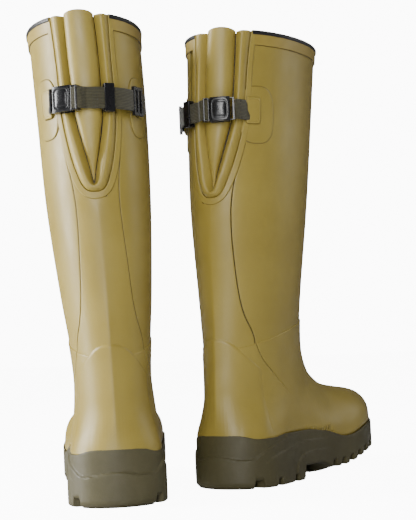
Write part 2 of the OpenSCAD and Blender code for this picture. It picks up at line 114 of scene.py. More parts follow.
def seen_bright(tree, dull, bright, output):
    """Shows the camera the bright shader, while the light still comes from the dull one."""
    seen = add_node(tree, "ShaderNodeLightPath").outputs["Is Camera Ray"]
    both = add_node(tree, "ShaderNodeMixShader", {"Fac": seen, 1: dull, 2: bright})
    tree.links.new(both.outputs["Shader"], output)


floor_mesh = bpy.data.meshes.new("studio_floor")
corners = [(x * FLOOR_HALF, y * FLOOR_HALF, -FLOOR_DROP) for x, y in CORNERS]
floor_mesh.from_pydata(corners, [], [(0, 1, 2, 3)])
floor_finish = plain_finish("studio_floor", FLOOR_GREY, 0.9)
tree = floor_finish.node_tree
paper = tree.nodes["Principled BSDF"].outputs["BSDF"]
glow = add_node(tree, "ShaderNodeEmission", {"Strength": FLOOR_GLOW}).outputs["Emission"]
lit = add_node(tree, "ShaderNodeAddShader", {0: paper, 1: glow}).outputs["Shader"]
seen_bright(tree, paper, lit, tree.nodes["Material Output"].inputs["Surface"])
floor_mesh.materials.append(floor_finish)
floor = bpy.data.objects.new("studio_floor", floor_mesh)
bpy.context.scene.collection.objects.link(floor)

world = bpy.data.worlds.new("white_studio")
world.use_nodes = True
tree = world.node_tree
around = tree.nodes["Background"]
around.inputs["Color"].default_value = WHITE
around.inputs["Strength"].default_value = STUDIO_LIGHT
behind = add_node(tree, "ShaderNodeBackground", {"Color": WHITE, "Strength": STUDIO_SEEN})
seen_bright(
    tree, around.outputs["Background"], behind.outputs["Background"],
    tree.nodes["World Output"].inputs["Surface"],
)
bpy.context.scene.world = world


def softbox(name, place, target, width, height, power):
    """A rectangular area light at place that faces target."""
    lamp = bpy.data.lights.new(name, "AREA")
    lamp.shape = "RECTANGLE"
    lamp.size = width
    lamp.size_y = height
    lamp.energy = power
    light = bpy.data.objects.new(name, lamp)
    light.location = place
    aim = Vector(target) - Vector(place)
    light.rotation_euler = aim.to_track_quat("-Z", "Y").to_euler()
    bpy.context.scene.collection.objects.link(light)


softbox("key_left", (-2.0, -0.12, 0.75), (-0.05, 0, 0.2), 0.7, 1.4, 96)
softbox("behind", (-0.3, -2.0, 0.8), (0.05, 0, 0.2), 0.4, 1.3, 33)
softbox("edge_right", (1.7, 0.42, 0.9), (0.05, 0, 0.25), 0.5, 1.2, 5)

# --- Outsole ----------------------------------------------------------------
# The moulded rubber tread block: a heel, an arch and a lugged forefoot that is
# crowned and springs up to the toe. Its side wall carries a step round the heel
# and two swept contour lines. It is cemented under the lasted upper.

MM = 0.001
SIDES = {"left": -1, "right": 1}
SOLE = np.array([   # the plan outline: x to the outer side and y to the toe, in mm
    (-1, -6), (24, 1), (39, 19), (42, 45), (40, 80), (42, 115), (47, 152), (51, 186),
    (48, 212), (38, 237), (24, 261), (8, 282), (-13, 297), (-34, 287), (-46, 262), (-52, 228),
    (-49, 185), (-43, 145), (-39, 105), (-41, 70), (-43, 42), (-40, 18), (-25, 1),
], float)
OUTLINE_STEPS = 30
HEEL_H, BALL_H = 33, 18
TOE_RISES = ((12, 152, 70), (7, 235, 75))   # each rise's height, start and length
FOXING_H = 13
FOXING_RISES = ((2, 35, 20), (6, 110, 60), (-5, 125, 40))
HEEL_LEN = 84.0
ARCH_H = 13.5
CROWN_H = 6.5
EDGE_GROOVES = (13, 36, 68, 141, 156, 170, 184, 198, 213, 228, 243, 258, 273)
INNER_GROOVES = range(24, 280, 13)
EDGE_GROOVE_W, INNER_GROOVE_W = 7.5, 4.5
LUG_H = 7.0
HEEL_STEP = np.array([   # distance from the heel, and height of the step in the wall there
    (-6, 31), (-2, 28.5), (3, 27.5), (9, 29), (18, 35.5), (32, 41), (50, 45), (66, 60),
])
SWEEP = np.array([
    (8, 17), (14, 22), (23, 27.5), (39, 32), (60, 36), (81, 38), (100, 38.6), (140, 37),
])
ARCH_SWEEP = np.array([(64, 2), (68, 11), (71, 18.5), (80, 24.5), (92, 27.2), (103, 28), (140, 27)])
SPINE = np.array([(0, -1), (80, -1), (150, 3), (200, 3), (262, -3)])
MERGE = 2e-5   # points closer than this are one point, in metres
SHARP_DEG = 40
SOLE_BROWN = (0.082, 0.072, 0.030)
SOLE_SHADE = (0.056, 0.048, 0.019)


def mix(a, b, t):
    return a + (b - a) * t


def smooth(x):
    t = np.clip(x, 0, 1)
    return t * t * (3 - 2 * t)


def spline(p, q, r, s, t):
    """The Catmull-Rom curve between q and r."""
    return 0.5 * (
        2 * q + (r - p) * t + (2 * p - 5 * q + 4 * r - s) * t**2 + (3 * q - p - 3 * r + s) * t**3
    )


def closed_line(corners, steps):
    """A smooth closed line through the corners, with steps points for each."""
    t = np.linspace(0, 1, steps, endpoint=False)[None, :, None]
    p, q, r, s = (np.roll(corners, shift, axis=0)[:, None] for shift in (1, 0, -1, -2))
    return spline(p, q, r, s, t).reshape(-1, 2)


def inset_line(line, inset):
    """A closed line moved sideways, inwards where inset is positive."""
    along = np.roll(line, -1, axis=0) - np.roll(line, 1, axis=0)
    return line + np.stack([-along[:, 1], along[:, 0]], 1) * (
        inset / np.linalg.norm(along, axis=1, keepdims=True)
    )


def rises(y, steps):
    """The sum of smooth rises, each with its height, its start and its length."""
    return sum(height * smooth((y - start) / length) for height, start, length in steps)


def toe_spring(y):
    return rises(y, TOE_RISES)


def sole_top(y):
    return mix(HEEL_H, BALL_H, smooth((y - 95) / 85)) + toe_spring(y)


def foxing_top(y):
    back = 5 * (1 - smooth((y + 6) / 20))
    return sole_top(y) + FOXING_H + back + rises(y, FOXING_RISES)


def groove(y, centre, width):
    """1 inside a groove across the sole, 0 outside it, with sloping sides."""
    return smooth((width / 2 + 0.7 - np.abs(y - centre)) / 1.4)


def tread(x, y, middle):
    """Height of the sole's underside, with its grooves, at points x, y."""
    off = np.abs(x - middle)
    arch = ARCH_H * smooth((y - HEEL_LEN + 1) / 2.5) * (1 - smooth((y - 114) / 24))
    crown = CROWN_H * smooth((off - 12) / 30) * smooth((y - 115) / 18)
    cut = np.zeros_like(y)
    for place in EDGE_GROOVES:
        cut = np.maximum(cut, groove(y, place, EDGE_GROOVE_W) * smooth((off - 13) / 2))
    for place in INNER_GROOVES:
        inner = groove(y + off * 0.6, place, INNER_GROOVE_W) * smooth((10.5 - off) / 1.5)
        cut = np.maximum(cut, inner * (1 - smooth((y - 74) / 6) * smooth((130 - y) / 6)))
    ring = smooth((1.9 - np.abs(off - 12)) / 1.2) * smooth((y - 13) / 4)
    ring = ring * (1 - smooth((y - 76) / 4) * smooth((128 - y) / 6))
    return toe_spring(y) + arch + crown + LUG_H * np.maximum(cut, ring)


def wall_out(y, z):
    """How far the sole's side wall stands out from the plan outline."""
    fade = 1 - smooth((y - 95) / 45)
    step = 1.8 * smooth((np.interp(y, *HEEL_STEP.T) - z) / 1.5)
    sweep = 1.3 * smooth((np.interp(y, *SWEEP.T) - z) / 1.3) * smooth((y - 10) / 22) * fade
    arch = 1.3 * smooth((np.interp(y, *ARCH_SWEEP.T) - z) / 1.3) * smooth((y - 62) / 8) * fade
    return step + sweep + arch - 0.7


def grid_faces(index):
    """Quads between neighbouring rows and columns of a grid of point numbers."""
    corners = [index[:-1, :-1], index[1:, :-1], index[1:, 1:], index[:-1, 1:]]
    return np.stack(corners, -1).reshape(-1, 4)


def ring_faces(rings, count, joined=False):
    """Quads between rings of count points, and from the last to the first if joined."""
    index = np.arange(rings * count).reshape(rings, count)
    if joined:
        index = np.vstack([index, index[:1]])
    return grid_faces(np.hstack([index, index[:, :1]]))


def stand(side, points):
    """Points in a boot's own millimetres, x to its outer side, as points of the frame."""
    heel = spots[f"{side}_heel_tread"]
    forward = (spots[f"{side}_ball_tread"] - heel).normalized()
    outward = Vector((forward.y, -forward.x, 0)) * SIDES[side]
    start = heel - forward * HEEL_AT
    turn = np.array([outward, forward, Vector((0, 0, 1))])
    return np.asarray(points, float).reshape(-1, 3) @ turn * MM + np.array(start)


def make(side, name, points, faces, finish, uv=None, seam=None, weld=False):
    """A closed piece of a boot with smooth shading, turned outside out, in its finish."""
    name = f"{side}_{name}"
    mesh = bpy.data.meshes.new(name)
    mesh.from_pydata(stand(side, points).tolist(), [], [list(map(int, f)) for f in faces])
    if uv is not None:
        layer = mesh.uv_layers.new(name="weave")
        loops = np.zeros(len(mesh.loops), np.int32)
        mesh.loops.foreach_get("vertex_index", loops)
        layer.data.foreach_set("uv", np.asarray(uv, np.float32)[loops].ravel())
    if seam is not None:
        # The seam attribute marks where the finish paints a dark line of shade along an edge.
        mark = mesh.attributes.new("seam", "FLOAT", "POINT")
        mark.data.foreach_set("value", np.asarray(seam, np.float32).ravel())
    if weld:
        shell = bmesh.new()
        shell.from_mesh(mesh)
        bmesh.ops.remove_doubles(shell, verts=shell.verts, dist=MERGE)
        shell.to_mesh(mesh)
        shell.free()
    mesh.validate()
    mesh.calc_loop_triangles()
    corner = np.zeros(len(mesh.vertices) * 3)
    mesh.vertices.foreach_get("co", corner)
    corner = corner.reshape(-1, 3)
    tri = np.zeros(len(mesh.loop_triangles) * 3, np.int32)
    mesh.loop_triangles.foreach_get("vertices", tri)
    a, b, c = (corner[tri.reshape(-1, 3)[:, k]] for k in range(3))
    if np.einsum("ij,ij->i", a, np.cross(b, c)).sum() < 0:
        mesh.flip_normals()
    mesh.shade_smooth()
    mesh.set_sharp_from_angle(angle=math.radians(SHARP_DEG))
    mesh.materials.append(finish)
    piece = bpy.data.objects.new(name, mesh)
    bpy.context.scene.collection.objects.link(piece)
    return piece


def fix(piece, side, node=None):
    """Rides a piece on its boot and hides the node that it stands for."""
    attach(piece, f"{side}_boot")
    if node:
        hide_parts(f"{side}_{node}")


def bumped(tree, height, strength, distance, under=None):
    """The normal that a pattern of heights gives, on top of the bump under it."""
    inputs = {"Height": height, "Strength": strength, "Distance": distance}
    if under is not None:
        inputs["Normal"] = under
    return add_node(tree, "ShaderNodeBump", inputs).outputs["Normal"]


def rubber(name, light, dark, roughness, peel, grain, mottle=1.0):
    """Moulded or dipped rubber: cloudy colour, a fine grain, an orange-peel surface, and
    painted shade, a dark line along each edge that the piece's seam attribute marks."""
    finish = plain_finish(name, light, roughness)
    tree = finish.node_tree
    shader = tree.nodes["Principled BSDF"]
    place = add_node(tree, "ShaderNodeTexCoord").outputs["Object"]

    def noise(scale, detail, rough=0.55):
        inputs = {"Vector": place, "Scale": scale, "Detail": detail, "Roughness": rough}
        return add_node(tree, "ShaderNodeTexNoise", inputs).outputs["Fac"]

    def spread(fac, low, high, to_low, to_high):
        inputs = {"Value": fac, "From Min": low, "From Max": high}
        inputs |= {"To Min": to_low, "To Max": to_high}
        return add_node(tree, "ShaderNodeMapRange", inputs).outputs["Result"]

    def blended(fac, a, b):
        return add_node(tree, "ShaderNodeMix", {0: fac, 6: a, 7: b}, data_type="RGBA").outputs[2]

    cloud = spread(noise(14, 5), 0.35, 0.68, 0.0, 0.75 * mottle)
    speck = spread(noise(1500, 2, 0.7), 0.42, 0.62, 0.0, 0.32 * mottle)
    edge = add_node(tree, "ShaderNodeAttribute", attribute_name="seam").outputs["Fac"]
    # Painted shade: near the edges that the seam attribute marks, the colour goes towards
    # near-black, in place of the shadow in the gap at a raised edge.
    painted_edge_shade = (*(0.16 * c for c in dark), 1)
    colour = blended(speck, blended(cloud, (*light, 1), (*dark, 1)), (*dark, 1))
    colour = blended(spread(edge, 0.25, 1.0, 0.0, 0.85), colour, painted_edge_shade)
    gloss = spread(noise(60, 4), 0.3, 0.7, roughness - 0.06, roughness + 0.08)
    waves = bumped(tree, noise(190, 2), peel, 0.0006)
    fine = bumped(tree, noise(1700, 2), grain, 0.00015, waves)
    for socket, pattern in (("Base Color", colour), ("Roughness", gloss), ("Normal", fine)):
        tree.links.new(pattern, shader.inputs[socket])
    return finish


sole_rubber = rubber("sole_rubber", SOLE_BROWN, SOLE_SHADE, 0.55, 0.22, 0.35)
outline = closed_line(SOLE, OUTLINE_STEPS)


def outsole():
    """The tread block's points and faces: underside, side wall and top, ring by ring."""
    y = outline[:, 1]
    spine_y = np.clip(y, 34, 262)
    middle = np.interp(spine_y, *SPINE.T)
    spine = np.stack([middle, spine_y], 1)
    away = outline - inset_line(outline, 1.0)
    rings = []
    round_h = mix(2.5, 6.0, 1 - smooth((y + 2) / 30))
    edge = tread(*inset_line(outline, 1.5).T, middle)
    for share in np.linspace(0, 0.955, 34):
        at = mix(spine, outline, share)
        rings.append(np.column_stack([at, tread(at[:, 0], at[:, 1], middle)]))
    for turn in (15, 40, 65, 90):
        lift = round_h * (1 - math.cos(math.radians(turn)))
        draw = round_h * (1 - math.sin(math.radians(turn)))
        z = edge + lift
        out = wall_out(y, z) - draw
        rings.append(np.column_stack([outline + away * out[:, None], z]))
    top = sole_top(y)
    for share in np.linspace(0.04, 1, 26):
        z = mix(edge + round_h, top, share)
        rings.append(np.column_stack([outline + away * wall_out(y, z)[:, None], z]))
    for share in (0.93, 0.5, 0.0):
        at = mix(spine, outline, share)
        rings.append(np.column_stack([at, sole_top(at[:, 1]) - (0 if share > 0.9 else 9)]))
    return np.vstack(rings), ring_faces(len(rings), len(outline))


for side in SIDES:
    points, faces = outsole()
    sole = make(side, "tread_block", points, faces, sole_rubber, weld=True)
    fix(sole, side, "outsole")

# --- Foxing -----------------------------------------------------------------
# The rubber strip that wraps the joint of upper and outsole. It is moulded with
# the sole, stands up round the foot with a thin rounded lip and is wavy on top.

FOXING_T = 3.2
LIP_R = 1.2


def foxing():
    y = outline[:, 1]
    away = outline - inset_line(outline, 1.0)
    inner = inset_line(outline, FOXING_T)
    low, high = sole_top(y), foxing_top(y)
    rings = []
    for share in np.linspace(0, 1, 18):
        z = mix(low, high - LIP_R, share)
        rings.append(np.column_stack([outline + away * wall_out(y, z)[:, None], z]))
    for turn in (30, 60, 90, 130):
        z = high - LIP_R + LIP_R * math.sin(math.radians(turn))
        out = wall_out(y, high - LIP_R) - LIP_R * (1 - math.cos(math.radians(turn)))
        rings.append(np.column_stack([outline + away * out[:, None], z]))
    rings.append(np.column_stack([inner, high - 1.5]))
    rings.append(np.column_stack([inner, low]))
    return np.vstack(rings), ring_faces(len(rings), len(outline), joined=True)


for side in SIDES:
    points, faces = foxing()
    strip = make(side, "foxing_strip", points, faces, sole_rubber)
    fix(strip, side, "foxing")

# --- Vamp and quarter -------------------------------------------------------
# The foot of the boot, of olive natural rubber laid up by hand on the last: the
# vamp over toe and instep, and the quarter behind it round the heel. They meet
# in a seam down each side, and their top edge laps the shaft at the ankle.

OLIVE = (0.350, 0.265, 0.054)
OLIVE_SHADE = (0.285, 0.210, 0.037)
RUBBER_T = 2.4
SOCK_GAP = 1.6
SECTIONS = np.array([   # front y and z, back y and z, half width, shift, squareness, flare
    (152, 430, -16, 430, 52, 14, 2.1, 0),
    (144.5, 350, -13, 350, 51, 9.5, 2.1, 0),
    (135.5, 270, -12, 270, 48.5, 6.5, 2.1, 0),
    (128, 192, -4.5, 190, 42.5, 3, 2.1, 0),
    (131, 161, -1, 129, 37.5, 1, 2.1, 0),
    (137, 130, -1, 95, 35, 0, 2.1, 0.04),
    (148, 111, 1, 60, 36.5, -1, 2.1, 0.08),
    (160, 100, 6, 30, 37, -1, 2.2, 0.06),
    (178, 90, 70, 10, 36, 1, 2.3, 0.04),
    (212, 84, 165, 0, 45.8, 0.7, 2.4, 0.03),
    (246, 80, 222, 0, 41.2, -6.8, 2.4, 0.03),
    (271, 68, 262, 4, 28.4, -12.2, 2.3, 0.03),
    (288, 48, 287, 34, 10, -14, 2.1, 0),
])
SPANS = len(SECTIONS) - 1
COLLAR_V = 4 / SPANS
COLLAR_LAP_V = 0.002
QUARTER_END_V = 8.45 / SPANS
TOE_START_V, TOE_END_V = 8.5 / SPANS, 11.98 / SPANS
TOE_CAP = (0.9, 0.7, 0.45, 0.2, 0.04)   # how wide each of the last rings at the toe is
SEAM_ON_FOOT = np.array([   # height and distance from the heel
    (178, 8), (153, 14), (134, 23), (119, 32), (99, 55), (80, 80), (50, 98), (0, 104),
])
SEAM_SHOWS_Z = 78
LAP = 0.9
LIP_OUT = 2.0
EDGE_R = 1.1


def squared(wave, power):
    """A sine or cosine bent towards a square wave."""
    return np.sign(wave) * np.abs(wave) ** power


def skin(deg, v, out=0.0):
    """Points of the boot's surface: angle from the middle of the back, place from
    0 at the rim to 1 at the toe, and distance outwards, in the boot's millimetres."""
    deg, v, out = np.broadcast_arrays(deg, v, out)
    x = np.clip(v, 0, 1) * SPANS
    i = np.minimum(x.astype(int), SPANS - 1)
    s = spline(
        SECTIONS[np.maximum(i - 1, 0)], SECTIONS[i], SECTIONS[i + 1],
        SECTIONS[np.minimum(i + 2, SPANS)], (x - i)[..., None],
    )
    front_y, front_z, back_y, back_z, wide, shift, square, flare = np.moveaxis(s, -1, 0)
    half = np.hypot(front_y - back_y, front_z - back_z) / 2
    k = (half + out) / half / 2
    a = np.radians(deg)
    across, along = squared(np.sin(a), 2 / square), -squared(np.cos(a), 2 / square)
    y = (front_y + back_y) / 2 + (front_y - back_y) * k * along
    z = (front_z + back_z) / 2 + (front_z - back_z) * k * along
    return np.stack([
        shift + (wide + out) * across * (1 - flare * along), y,
        np.maximum(z, sole_top(y) + SOCK_GAP - out),
    ], -1)


def slab(outer, inner):
    """The closed wall between two grids of points that lie one over the other."""
    rows, cols = outer.shape[:2]
    count = rows * cols
    index = np.arange(count).reshape(rows, cols)
    rim = np.concatenate([index[0], index[1:, -1], index[-1, -2::-1], index[-2:0:-1, 0]])
    after = np.roll(rim, -1)
    walls = np.stack([rim, after, after + count, rim + count], -1)
    faces = np.vstack([grid_faces(index), grid_faces(index)[:, ::-1] + count, walls])
    return np.vstack([outer.reshape(-1, 3), inner.reshape(-1, 3)]), faces


def steps(count, rim=0.0, fine=4):
    """Places from 0 to 1, closer together within rim of each end."""
    near = rim * (1 - np.cos(np.linspace(0, np.pi / 2, fine + 1)))[:-1 if rim else 0]
    return np.concatenate([near, np.linspace(rim, 1 - rim, count), 1 - near[::-1]])


def edge_distance(points, edges):
    """Distance of each point of a grid from the nearest of the edges t, b, l and r."""
    down = np.linalg.norm(np.diff(points, axis=0), axis=2).cumsum(0)
    across = np.linalg.norm(np.diff(points, axis=1), axis=2).cumsum(1)
    down = np.vstack([np.zeros_like(down[:1]), down])
    across = np.hstack([np.zeros_like(across[:, :1]), across])
    every = {"t": down, "b": down[-1] - down, "l": across, "r": across[:, -1:] - across}
    return np.minimum.reduce([every[e] for e in edges])


def rounded(distance, radius):
    """Drop of a rounded edge: radius at the edge, 0 from radius inwards."""
    t = np.clip(distance / radius, 0, 1)
    return radius * (1 - np.sqrt(1 - (1 - t) ** 2))


def seam_angle(v):
    """Angle at which each section crosses the foot's side seam."""
    deg = np.linspace(2, 178, 353)
    p = skin(deg[None], v[:, None])
    behind = p[..., 1] < np.interp(p[..., 2], *SEAM_ON_FOOT[::-1].T)
    return deg[np.where(behind.all(1), -1, np.argmin(behind, 1))] * behind[:, 0]


foxing_inside = inset_line(closed_line(SOLE, 8), FOXING_T + 0.1)


def meet_foxing(points):
    """The sideways push that seats the lower foot against the foxing's inside."""
    flat = points.reshape(-1, 3)
    push = np.zeros_like(flat)
    for start in range(0, len(flat), 4000):
        part = flat[start:start + 4000]
        gaps = foxing_inside[None] - part[:, None, :2]
        reach = np.linalg.norm(gaps, axis=2)
        nearest = reach.argmin(1)
        size = reach[np.arange(len(part)), nearest]
        near = np.clip((foxing_top(part[:, 1]) + 44 - part[:, 2]) / 45, 0, 1) ** 2
        share = near * (1 - smooth((size - 13) / 8))
        push[start:start + 4000, :2] = gaps[np.arange(len(part)), nearest] * share[:, None]
    return push.reshape(points.shape)


olive_rubber = rubber("olive_rubber", OLIVE, OLIVE_SHADE, 0.40, 0.10, 0.30)


def over_lip(points):
    """How far the rubber swells out over the lip of the foxing."""
    above = points[..., 2] - foxing_top(points[..., 1])
    return LIP_OUT * smooth((above + LIP_R) / 3) * (1 - smooth((above - 10) / 30))


# near_edge gives the mask of painted edge shade that the seam attribute carries.
def near_edge(distance, reach=0.9):
    """1 at an edge, 0 from reach inwards, for the outer and the inner grid of a slab."""
    close = np.clip(1 - distance / reach, 0, 1)
    return np.concatenate([close.ravel(), 0 * close.ravel()])


def foot_panel(deg, v):
    """One panel of the foot, its top and sides rounded, seated in the foxing."""
    bare = skin(deg, v)
    push = meet_foxing(bare)
    inner = skin(deg, v, -RUBBER_T) + push
    distance = edge_distance(inner, "tlr")
    shown = smooth((bare[..., 2] - SEAM_SHOWS_Z) / 34)
    out = LAP - rounded(distance, EDGE_R) * shown + over_lip(bare)
    points, faces = slab(skin(deg, v, out) + push, inner)
    return points, faces, near_edge(edge_distance(inner, "lr")) * np.tile(shown.ravel(), 2)


for side in SIDES:
    v = COLLAR_V - COLLAR_LAP_V + (QUARTER_END_V - COLLAR_V) * steps(90, 0.012)
    seam = seam_angle(v)
    seam = np.convolve(np.pad(seam, 3, mode="edge"), np.ones(7) / 7, "valid")
    seam[-4:] = np.maximum(seam[-4:], 3)
    deg = -seam[:, None] + 2 * seam[:, None] * steps(90, 0.02)[None]
    points, faces, seams = foot_panel(deg, v[:, None])
    quarter = make(side, "heel_quarter", points, faces, olive_rubber, seam=seams * 0.8)
    fix(quarter, side, "quarter")
    ahead = np.concatenate([v, np.linspace(TOE_START_V, TOE_END_V, 90)])
    seam = np.concatenate([seam, np.full(90, 1.0)])
    deg = seam[:, None] + (360 - 2 * seam[:, None]) * steps(230, 0.006)[None]
    capped = len(TOE_CAP) + 1
    deg = np.vstack([deg, np.repeat(deg[-1:], capped, axis=0)])
    ahead = np.concatenate([ahead, np.full(capped, 0.9995)])
    points, faces, seams = foot_panel(deg, ahead[:, None])
    grid = points.reshape(2, *deg.shape, 3)
    last = grid[:, -capped].copy()
    middle = last.mean(1, keepdims=True)
    for row, share in enumerate(TOE_CAP, 1 - capped):
        grid[:, row] = middle + (last - middle) * share
        grid[:, row, :, 1] += 2.2 * math.sqrt(1 - share**2)
    vamp = make(side, "vamp_rubber", points, faces, olive_rubber, seam=seams * 0.8)
    fix(vamp, side, "vamp")

# --- Shaft ------------------------------------------------------------------
# The tall leg tube: one sheet of rubber wrapped from the gusset round the front
# and back to it, thinner than the foot. Its two back edges stand at the seams.

SEAM_ROWS = np.array([
    (129, 50.5), (143, 42), (160, 36.5), (180, 31.5), (215, 27), (245, 23), (275, 22), (310, 28),
    (360, 31), (430, 31),
])
RIM_Z = 430.0
SHAFT_SPAN_H = 80   # height between two of the leg's sections
SHAFT_END_V = COLLAR_V - 0.0012
SHAFT_EDGE_R = 0.9
LEAN_DEG = {"left": 3.5, "right": 7.0}


def v_at(z):
    return (RIM_Z - np.asarray(z, float)) / SHAFT_SPAN_H / SPANS


def z_at(v):
    return RIM_Z - np.asarray(v, float) * SHAFT_SPAN_H * SPANS


def seam_deg(z):
    """Angle of the shaft's back edges, from a table whose corners are rounded."""
    near = [np.interp(np.asarray(z, float) + d, *SEAM_ROWS.T) for d in (-14, -7, 0, 7, 14)]
    return np.mean(near, axis=0)


def lean(side, z):
    """How far the gusset's middle line leans to the outer side, in degrees."""
    return LEAN_DEG[side] * smooth((z - 200) / 150)


for side in SIDES:
    v = SHAFT_END_V * steps(90)[:, None]
    turn, z = lean(side, z_at(v)), z_at(v)
    deg = turn + mix(seam_deg(z), 360 - seam_deg(z), steps(200, 0.008)[None])
    distance = edge_distance(skin(deg, v), "lr")
    points, faces = slab(skin(deg, v, -rounded(distance, SHAFT_EDGE_R)), skin(deg, v, -RUBBER_T))
    tube = make(side, "leg_tube", points, faces, olive_rubber, seam=near_edge(distance, 1.1))
    fix(tube, side, "shaft")

# --- Back panel -------------------------------------------------------------
# The narrow panel below the gusset that carries the keel line of the last down
# the back of the leg. It is let in between the shaft's edges, with a fine seam.

KEEL_H = 2.3
KEEL_W_DEG = 8.0
KEEL_ROUND_DEG = 1.6
PANEL_TOP = np.array([(0, 268), (0.45, 270), (0.62, 280), (0.8, 300), (1, 322)])
PANEL_ROOM_DEG = 0.5
PANEL_PROUD = 0.25


def keel(deg, turn, z):
    """The crest that the last leaves down the middle of the back."""
    fade = (0.35 + 0.65 * smooth((220 - z) / 90)) * smooth((275 - z) / 20) * smooth((z - 50) / 34)
    away = np.sqrt((deg - turn) ** 2 + KEEL_ROUND_DEG**2) - KEEL_ROUND_DEG
    return KEEL_H * np.exp(-away / KEEL_W_DEG) * fade


def from_middle(places):
    """Places from -1 to 1 that lie closer together at the middle."""
    t = 2 * places - 1
    return t * (0.3 + 0.7 * t**2)


for side in SIDES:
    across = from_middle(steps(60, 0.02))[None]
    top = np.interp(np.abs(across), *PANEL_TOP.T)
    v = mix(v_at(top), SHAFT_END_V, steps(80)[:, None])
    z = z_at(v)
    turn = lean(side, z)
    deg = turn + (seam_deg(z) - PANEL_ROOM_DEG) * across
    distance = edge_distance(skin(deg, v), "lr")
    out = PANEL_PROUD + keel(deg, turn, z) - rounded(distance, SHAFT_EDGE_R)
    points, faces = slab(skin(deg, v, out), skin(deg, v, -RUBBER_T))
    panel = make(side, "leg_back", points, faces, olive_rubber, seam=near_edge(distance, 0.7))
    fix(panel, side, "back_panel")

# --- Heel counter -----------------------------------------------------------
# A stiffener under an extra layer of rubber, domed at the top, wrapped round the
# heel over the quarter. Its thin rounded edge catches the light.

COUNTER_HALF_DEG = 60.0
COUNTER_OUT = 1.6
COUNTER_IN = 0.4
COUNTER_EDGE_DROP = 1.15

for side in SIDES:
    u = from_middle(steps(80, 0.03))[None]
    top = 3.75 + 1.05 * np.abs(u) ** 2.2
    v = mix(top, 6.3 + 0.5 * u**2, steps(60, 0.02)[:, None]) / SPANS
    deg = u * COUNTER_HALF_DEG * np.ones_like(v)
    bare = skin(deg, v)
    push = meet_foxing(bare)
    above = bare[..., 2] - foxing_top(bare[..., 1])
    edge = np.minimum(edge_distance(bare, "t") / 2.2, edge_distance(bare, "lr") / 7)
    proud = mix(LAP + 0.2, COUNTER_OUT + keel(deg, 0, bare[..., 2]), smooth(above / 9))
    out = proud + over_lip(bare) - COUNTER_EDGE_DROP * (1 - smooth(edge))
    points, faces = slab(skin(deg, v, out) + push, skin(deg, v, COUNTER_IN) + push)
    layer = make(side, "heel_layer", points, faces, olive_rubber)
    fix(layer, side, "heel_counter")

# --- Gusset -----------------------------------------------------------------
# A bellows of softer rubber let into the back of the leg, which the strap draws
# in. Its middle bulges between two deep folds, and is widest at the rim.

ARC = 0.9   # mm of the back for each degree
FOLD_LINE = np.array([   # half the width of the bellows, and the height where it is so
    (0, 282), (1.3, 286), (3.2, 296), (7.5, 315), (12.5, 342), (13.6, 385), (13, 430),
])
FOLD_DEPTH = 2.7
BULGE = np.array([   # height, and how far the bellows stands out there
    (282, -2.2), (292, -1.4), (300, 0.4), (312, 3.2), (330, 5.0), (360, 5.8), (400, 6.3),
    (432, 6.6),
])
GUSSET_WALL = 1.8
GUSSET_FOOT_Z = 283.0
SWAY_DEG = {
    "left": np.array([(200, 1), (270, 2.6), (350, 3.6), (430, 4.6)]),
    "right": np.array([(200, 2), (270, 4.5), (300, 7), (350, 12), (430, 17)]),
}

gusset_rubber = rubber("gusset_rubber", OLIVE, OLIVE_SHADE, 0.46, 0.12, 0.30)


def sway(side, z):
    """How far the bellows leans, more than its seams do, in degrees."""
    return np.interp(z, *SWAY_DEG[side].T)


def on_back(side, w, z, out):
    """Points of the back, w mm across from the bellows' middle line at height z."""
    w, z, out = np.broadcast_arrays(w, z, out)
    return skin(sway(side, z) + w / ARC, v_at(np.minimum(z, RIM_Z)), out) + np.stack(
        [0 * z, 0 * z, np.maximum(z - RIM_Z, 0)], -1
    )


for side in SIDES:
    z = mix(GUSSET_FOOT_Z, RIM_Z, steps(90, 0.02, 6))[:, None]
    u = (2 * steps(50, 0.06) - 1)[None]
    width = np.interp(z, FOLD_LINE[:, 1], FOLD_LINE[:, 0])
    height = np.interp(z, *BULGE.T)
    out = -FOLD_DEPTH + (FOLD_DEPTH + height) * (1 - np.abs(u) ** 2.8) ** 0.52
    rise = 3.0 * (1 - u**2) * smooth((z - 405) / 25)
    w = u * (width - 0.5)
    inside = on_back(side, w * 0.97, z + rise, np.maximum(out - GUSSET_WALL, -3.1))
    points, faces = slab(on_back(side, w, z + rise, out), inside)
    bellows = make(side, "bellows", points, faces, gusset_rubber)
    fix(bellows, side, "gusset")

# --- Gusset ridges ----------------------------------------------------------
# The raised welt that runs down both sides of the bellows and meets in a point
# below it. Its inner flank dives into the fold.

RIDGE_LINE = np.array([
    (0, 274.5), (9, 278.5), (15.5, 295), (20.5, 318), (23.5, 345), (23.5, 385), (25, 430),
])
RIDGE_H = 4.2
LOBE_H, LOBE_Z, LOBE_W = 1.2, 291, 9
RIDGE_FOOT = -2.9
PLACES = 170


def u_line(half, places):
    """A smooth line down one side of the gusset, round its foot and up the other."""
    whole = np.vstack([half[:0:-1] * (-1, 1), half]).astype(float)
    last = len(whole) - 1
    x = places * last
    i = np.minimum(x.astype(int), last - 1)
    before, after = whole[np.maximum(i - 1, 0)], whole[np.minimum(i + 2, last)]
    return spline(before, whole[i], whole[i + 1], after, (x - i)[:, None])


def u_strip(side, inner, outer, across, rise, under):
    """A strip of the back between two u-lines: rise gives its height over across."""
    places = np.linspace(0, 1, PLACES)
    a, b = u_line(inner, places), u_line(outer, places)
    w, z = np.moveaxis(a[:, None] + (b - a)[:, None] * across[None, :, None], -1, 0)
    return slab(on_back(side, w, z, rise(across[None], z)), on_back(side, w, z, under))


def ridge_rise(across, z):
    """The welt's section, a little fuller where its two sides come together."""
    hump = np.sin(np.pi * np.clip(across, 0, 1)) ** 0.7
    lobe = LOBE_H * np.exp(-(((z - LOBE_Z) / LOBE_W) ** 2))
    return mix(RIDGE_FOOT, 0.1, smooth(across / 0.4)) + (RIDGE_H + lobe) * hump


